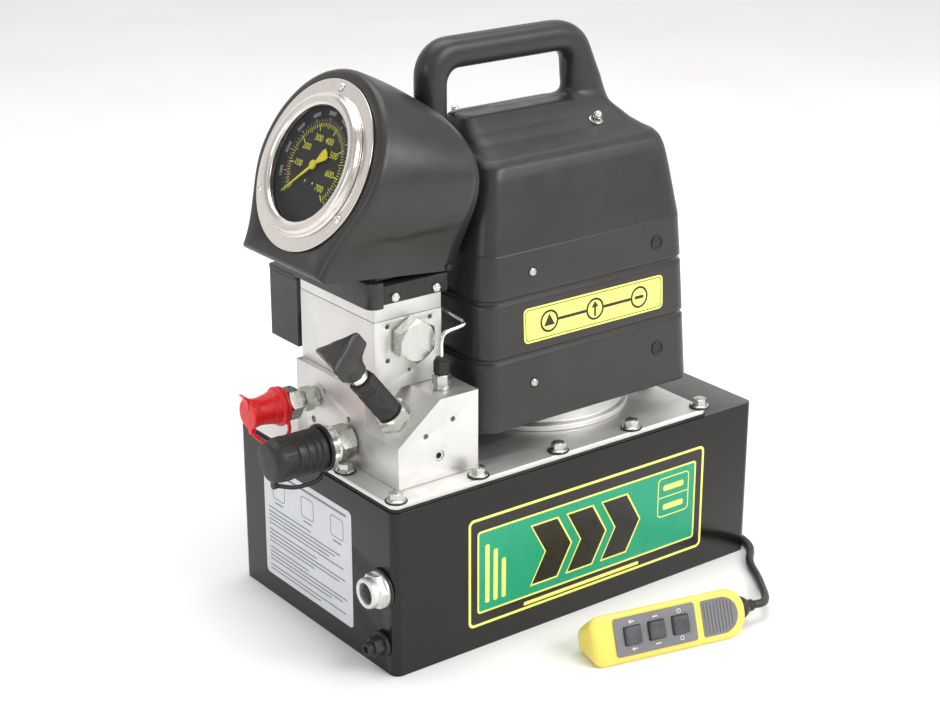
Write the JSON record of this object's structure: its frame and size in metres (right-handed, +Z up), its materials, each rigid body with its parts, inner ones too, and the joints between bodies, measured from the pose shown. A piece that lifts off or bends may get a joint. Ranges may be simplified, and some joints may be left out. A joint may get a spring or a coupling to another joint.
{
  "type": "hydraulic power unit",
  "caption": "Portable electric hydraulic power unit with oil tank, valve manifold, capped couplers, cowled pressure gauge, shrouded motor, carrying handle and corded pendant.",
  "frame": {"origin": "centre of the tank's underside, on the surface that it stands on", "axes": "+X along the tank's long side, away from the manifold; +Y towards the back, away from the pendant; +Z up"},
  "size_m": [0.4386, 0.4324, 0.455],
  "materials": {
    "tank_paint": "glossy black enamel",
    "gasket": "matte",
    "aluminium": "satin machined",
    "clear_glass": "clear",
    "black_steel": "black oxide, satin",
    "zinc": "zinc plated",
    "steel": "polished",
    "gauge_steel": "satin stainless",
    "dial": "matte black print",
    "pointer": "satin yellow",
    "moulded_black": "fine satin texture",
    "black_rubber": "matte",
    "cord_jacket": "satin jacket",
    "red_plastic": "semi-gloss",
    "cast_iron": "as cast",
    "copper": "wound copper and laminated steel",
    "grey_plastic": "satin",
    "pendant_yellow": "satin",
    "button_rubber": "matte"
  },
  "bodies": {
    "unit": {"tank": "tank_paint", "tank_gasket": "gasket", "cover_plate": "aluminium", "manifold_block": "aluminium", "valve_column": "aluminium", "column_cap": "aluminium", "sight_glass_bezel": "aluminium", "motor_adapter": "aluminium", "sight_glass_lens": "clear_glass", "gauge_lens": "clear_glass", "drain_plug": "black_steel", "gauge_bracket": "black_steel", "relief_body": "black_steel", "pilot_nut": "black_steel", "column_hex_plug": "zinc", "relief_nut": "zinc", "pilot_fitting": "zinc", "pressure_fitting": "zinc", "return_fitting": "zinc", "bracket_screw_left": "steel", "bracket_screw_right": "steel", "pilot_tube": "steel", "pressure_nipple": "steel", "return_nipple": "steel", "suction_strainer": "steel", "gauge_case": "gauge_steel", "gauge_bezel": "gauge_steel", "gauge_dial": "dial", "cowl_base": "moulded_black", "control_box": "moulded_black", "control_box_cover": "moulded_black", "gauge_cowl": "moulded_black", "shroud_front": "moulded_black", "shroud_rear": "moulded_black", "pendant_gland": "black_rubber", "mains_gland": "black_rubber", "pressure_cap_strap": "black_rubber", "pendant_boot": "black_rubber", "cord_drop": "cord_jacket", "cord_coil": "cord_jacket", "cord_lead": "cord_jacket", "return_cap_strap": "red_plastic", "motor_housing": "cast_iron", "pump_body": "cast_iron", "motor_relay": "grey_plastic", "pendant_panel": "grey_plastic", "pendant_housing": "pendant_yellow"},
    "gauge_pointer": {"gauge_pointer": "pointer"},
    "relief_screw": {"relief_stem": "steel"},
    "relief_knob": {"relief_knob": "moulded_black"},
    "pressure_cap": {"pressure_cap": "black_rubber"},
    "return_cap": {"return_cap": "red_plastic"},
    "pressure_sleeve": {"pressure_sleeve": "steel"},
    "motor_shaft": {"motor_rotor": "copper", "cooling_fan": "moulded_black", "shaft_coupling": "steel", "pump_cam": "steel"},
    "pendant_button_1": {"pendant_button_1": "button_rubber"},
    "pendant_button_2": {"pendant_button_2": "button_rubber"},
    "pendant_button_3": {"pendant_button_3": "button_rubber"}
  },
  "joints": [
    {"name": "pointer_sweep", "type": "hinge", "parent": "unit", "child": "gauge_pointer", "pos_m": [-0.1728, 0, 0.375], "axis": [0.8949, 0, -0.4462], "range_deg": [0, 270], "stiffness_Nm_per_rad": 0.002, "springref_deg": -17.19},
    {"name": "relief_travel", "type": "slide", "parent": "unit", "child": "relief_screw", "axis": [-0.6185, 0, 0.7858], "range_m": [0, 0.00637]},
    {"name": "relief_turn", "type": "hinge", "parent": "relief_screw", "child": "relief_knob", "pos_m": [-0.148, -0.064, 0.1887], "axis": [-0.6185, 0, 0.7858], "range_deg": [0, 1530.1]},
    {"name": "pressure_cap_pull", "type": "slide", "parent": "unit", "child": "pressure_cap", "axis": [-1, 0, 0], "range_m": [0, 0.04]},
    {"name": "return_cap_pull", "type": "slide", "parent": "unit", "child": "return_cap", "axis": [-1, 0, 0], "range_m": [0, 0.03]},
    {"name": "sleeve_turn", "type": "hinge", "parent": "unit", "child": "pressure_sleeve", "pos_m": [-0.184, -0.025, 0.163], "axis": [-1, 0, 0], "continuous": true},
    {"name": "motor_turn", "type": "hinge", "parent": "unit", "child": "motor_shaft", "pos_m": [0.036, 0, 0.2], "axis": [0, 0, 1], "continuous": true},
    {"name": "button_1_press", "type": "slide", "parent": "unit", "child": "pendant_button_1", "axis": [0.2068, 0.9104, -0.3584], "range_m": [0, 0.0025], "stiffness_N_per_m": 400, "springref_m": -0.002},
    {"name": "button_2_press", "type": "slide", "parent": "unit", "child": "pendant_button_2", "axis": [0.2068, 0.9104, -0.3584], "range_m": [0, 0.0025], "stiffness_N_per_m": 400, "springref_m": -0.002},
    {"name": "button_3_press", "type": "slide", "parent": "unit", "child": "pendant_button_3", "axis": [0.2068, 0.9104, -0.3584], "range_m": [0, 0.0025], "stiffness_N_per_m": 400, "springref_m": -0.002}
  ],
  "couplings": [
    {"joint": "relief_turn", "follows": "relief_travel", "rad_per_m": 4188.8}
  ]
}
